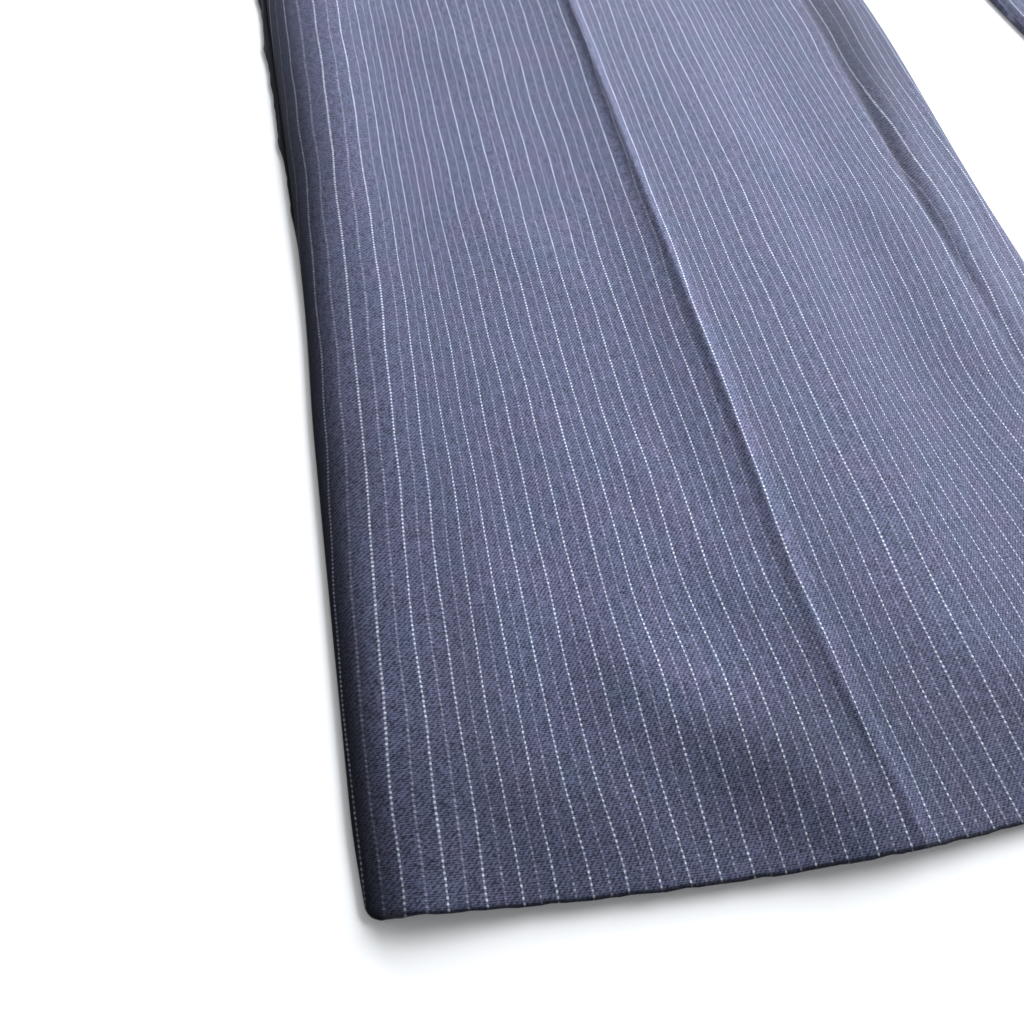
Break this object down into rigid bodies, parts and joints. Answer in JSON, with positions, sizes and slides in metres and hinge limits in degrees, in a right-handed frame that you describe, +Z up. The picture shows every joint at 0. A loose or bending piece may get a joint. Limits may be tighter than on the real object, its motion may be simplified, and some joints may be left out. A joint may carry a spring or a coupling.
{
  "type": "pinstripe suit trousers laid flat",
  "caption": "Pinstripe suit trousers laid flat, front up, with pressed creases, a fly strip and a buttoned waistband.",
  "frame": {"origin": "centre of the flat outline, on the surface that the trousers lie on", "axes": "+Y from the hems to the waistband, +X towards the wearer's left, +Z up from the surface"},
  "size_m": [0.568, 1.05, 0.0081],
  "materials": {
    "suiting": "worsted twill, navy with white beaded pinstripes",
    "button": "polished"
  },
  "bodies": {
    "root": {"front_right": "suiting", "front_left": "suiting", "back_right": "suiting", "back_left": "suiting", "waistband_right": "suiting", "waistband_left": "suiting", "fly": "suiting", "waist_button": "button"}
  },
  "joints": []
}
